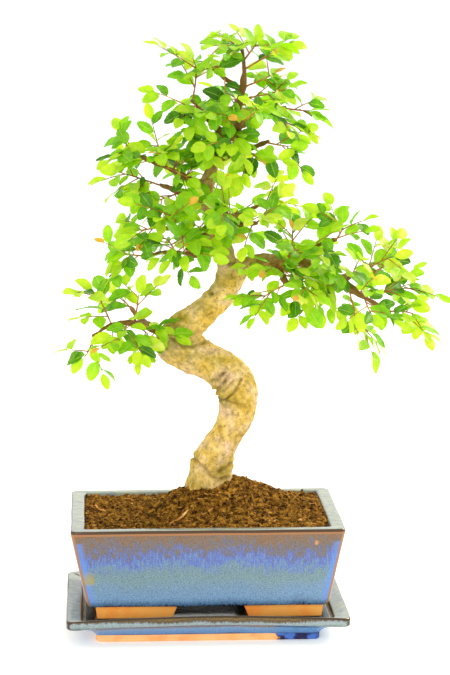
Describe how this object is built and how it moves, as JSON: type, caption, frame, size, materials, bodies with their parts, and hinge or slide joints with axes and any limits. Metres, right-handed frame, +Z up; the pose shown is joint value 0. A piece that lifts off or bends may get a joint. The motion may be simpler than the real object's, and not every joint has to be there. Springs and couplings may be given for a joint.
{
  "type": "bonsai tree in a pot",
  "caption": "S-shaped elm bonsai with small serrated leaves, growing in an oblong blue-glazed stoneware pot on clay feet that stands on a matching drip tray.",
  "frame": {"origin": "under the middle of the whole object's bounding box, on the surface that the tray stands on; the middle of the tray and pot is 36.8 mm to its left, at x = -0.0368", "axes": "+Z up, +X to the viewer's right seen from the front, along the pot's length, +Y to the back"},
  "size_m": [0.2837, 0.159, 0.4596],
  "materials": {
    "tray_glaze": "gloss",
    "pot_glaze": "gloss",
    "mesh_plastic": "matte",
    "potting_soil": "matte",
    "elm_bark": "matte",
    "elm_leaf": "satin"
  },
  "bodies": {
    "root": {"drip_tray": "tray_glaze", "pot": "pot_glaze", "drain_screen_left": "mesh_plastic", "drain_screen_right": "mesh_plastic", "soil": "potting_soil", "trunk_and_branches": "elm_bark", "spray_top_01": "elm_leaf", "spray_top_02": "elm_leaf", "spray_top_03": "elm_leaf", "spray_top_04": "elm_leaf", "spray_top_05": "elm_leaf", "spray_top_06": "elm_leaf", "spray_top_07": "elm_leaf", "spray_top_08": "elm_leaf", "spray_top_09": "elm_leaf", "spray_top_10": "elm_leaf", "spray_top_11": "elm_leaf", "spray_top_12": "elm_leaf", "spray_top_13": "elm_leaf", "spray_top_14": "elm_leaf", "spray_top_15": "elm_leaf", "spray_top_16": "elm_leaf", "spray_top_17": "elm_leaf", "spray_top_18": "elm_leaf", "spray_top_19": "elm_leaf", "spray_top_20": "elm_leaf", "spray_middle_01": "elm_leaf", "spray_middle_02": "elm_leaf", "spray_middle_03": "elm_leaf", "spray_middle_04": "elm_leaf", "spray_middle_05": "elm_leaf", "spray_middle_06": "elm_leaf", "spray_middle_07": "elm_leaf", "spray_middle_08": "elm_leaf", "spray_middle_09": "elm_leaf", "spray_middle_10": "elm_leaf", "spray_middle_11": "elm_leaf", "spray_middle_12": "elm_leaf", "spray_middle_13": "elm_leaf", "spray_middle_14": "elm_leaf", "spray_middle_15": "elm_leaf", "spray_middle_16": "elm_leaf", "spray_right_01": "elm_leaf", "spray_right_02": "elm_leaf", "spray_right_03": "elm_leaf", "spray_right_04": "elm_leaf", "spray_right_05": "elm_leaf", "spray_right_06": "elm_leaf", "spray_right_07": "elm_leaf", "spray_right_08": "elm_leaf", "spray_right_09": "elm_leaf", "spray_right_10": "elm_leaf", "spray_right_11": "elm_leaf", "spray_right_12": "elm_leaf", "spray_left_01": "elm_leaf", "spray_left_02": "elm_leaf", "spray_left_03": "elm_leaf", "spray_left_04": "elm_leaf", "spray_left_05": "elm_leaf", "spray_left_06": "elm_leaf"}
  },
  "joints": []
}
